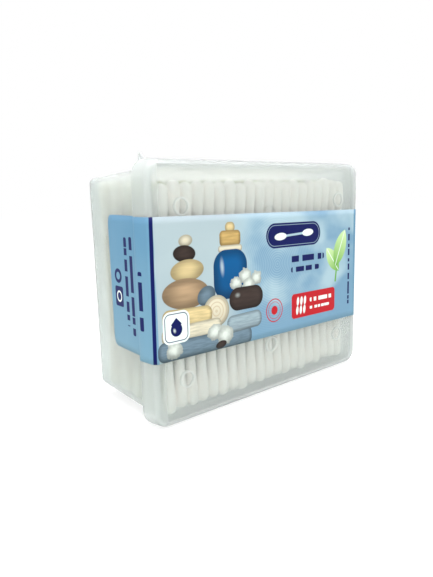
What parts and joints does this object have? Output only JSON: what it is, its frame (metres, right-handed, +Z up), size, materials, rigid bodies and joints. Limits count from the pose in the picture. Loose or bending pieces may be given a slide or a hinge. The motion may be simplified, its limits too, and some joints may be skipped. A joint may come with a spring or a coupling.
{
  "type": "cotton swab box",
  "caption": "Frosted translucent rectangular box with a cap lid sealed by a wrap-round label, filled with upright rows of double-ended cotton swabs.",
  "frame": {"origin": "middle of the standing box's footprint, level with the lid's lower edge", "axes": "+X right along the box's length, +Y from the lid's face back to the tub's floor, +Z up along the swabs"},
  "size_m": [0.1076, 0.0442, 0.0879],
  "materials": {
    "tub_plastic": "frosted translucent polypropylene, milky and slightly green where light passes a long way through it",
    "lid_plastic": "frosted translucent polypropylene, a little clearer than the tub",
    "label_print": "printed adhesive film label, sky blue and white with plain navy, red and green shapes",
    "stick": "pale rolled paper stick",
    "cotton": "white wound cotton, soft and fuzzy"
  },
  "bodies": {
    "root": {"base_tub": "tub_plastic", "lid": "lid_plastic", "label": "label_print", "swab_sticks_row_01": "stick", "swab_sticks_row_02": "stick", "swab_sticks_row_03": "stick", "swab_sticks_row_04": "stick", "swab_sticks_row_05": "stick", "swab_sticks_row_06": "stick", "swab_sticks_row_07": "stick", "swab_sticks_row_08": "stick", "swab_sticks_row_09": "stick", "swab_sticks_row_10": "stick", "cotton_tips_row_01": "cotton", "cotton_tips_row_02": "cotton", "cotton_tips_row_03": "cotton", "cotton_tips_row_04": "cotton", "cotton_tips_row_05": "cotton", "cotton_tips_row_06": "cotton", "cotton_tips_row_07": "cotton", "cotton_tips_row_08": "cotton", "cotton_tips_row_09": "cotton", "cotton_tips_row_10": "cotton"}
  },
  "joints": []
}
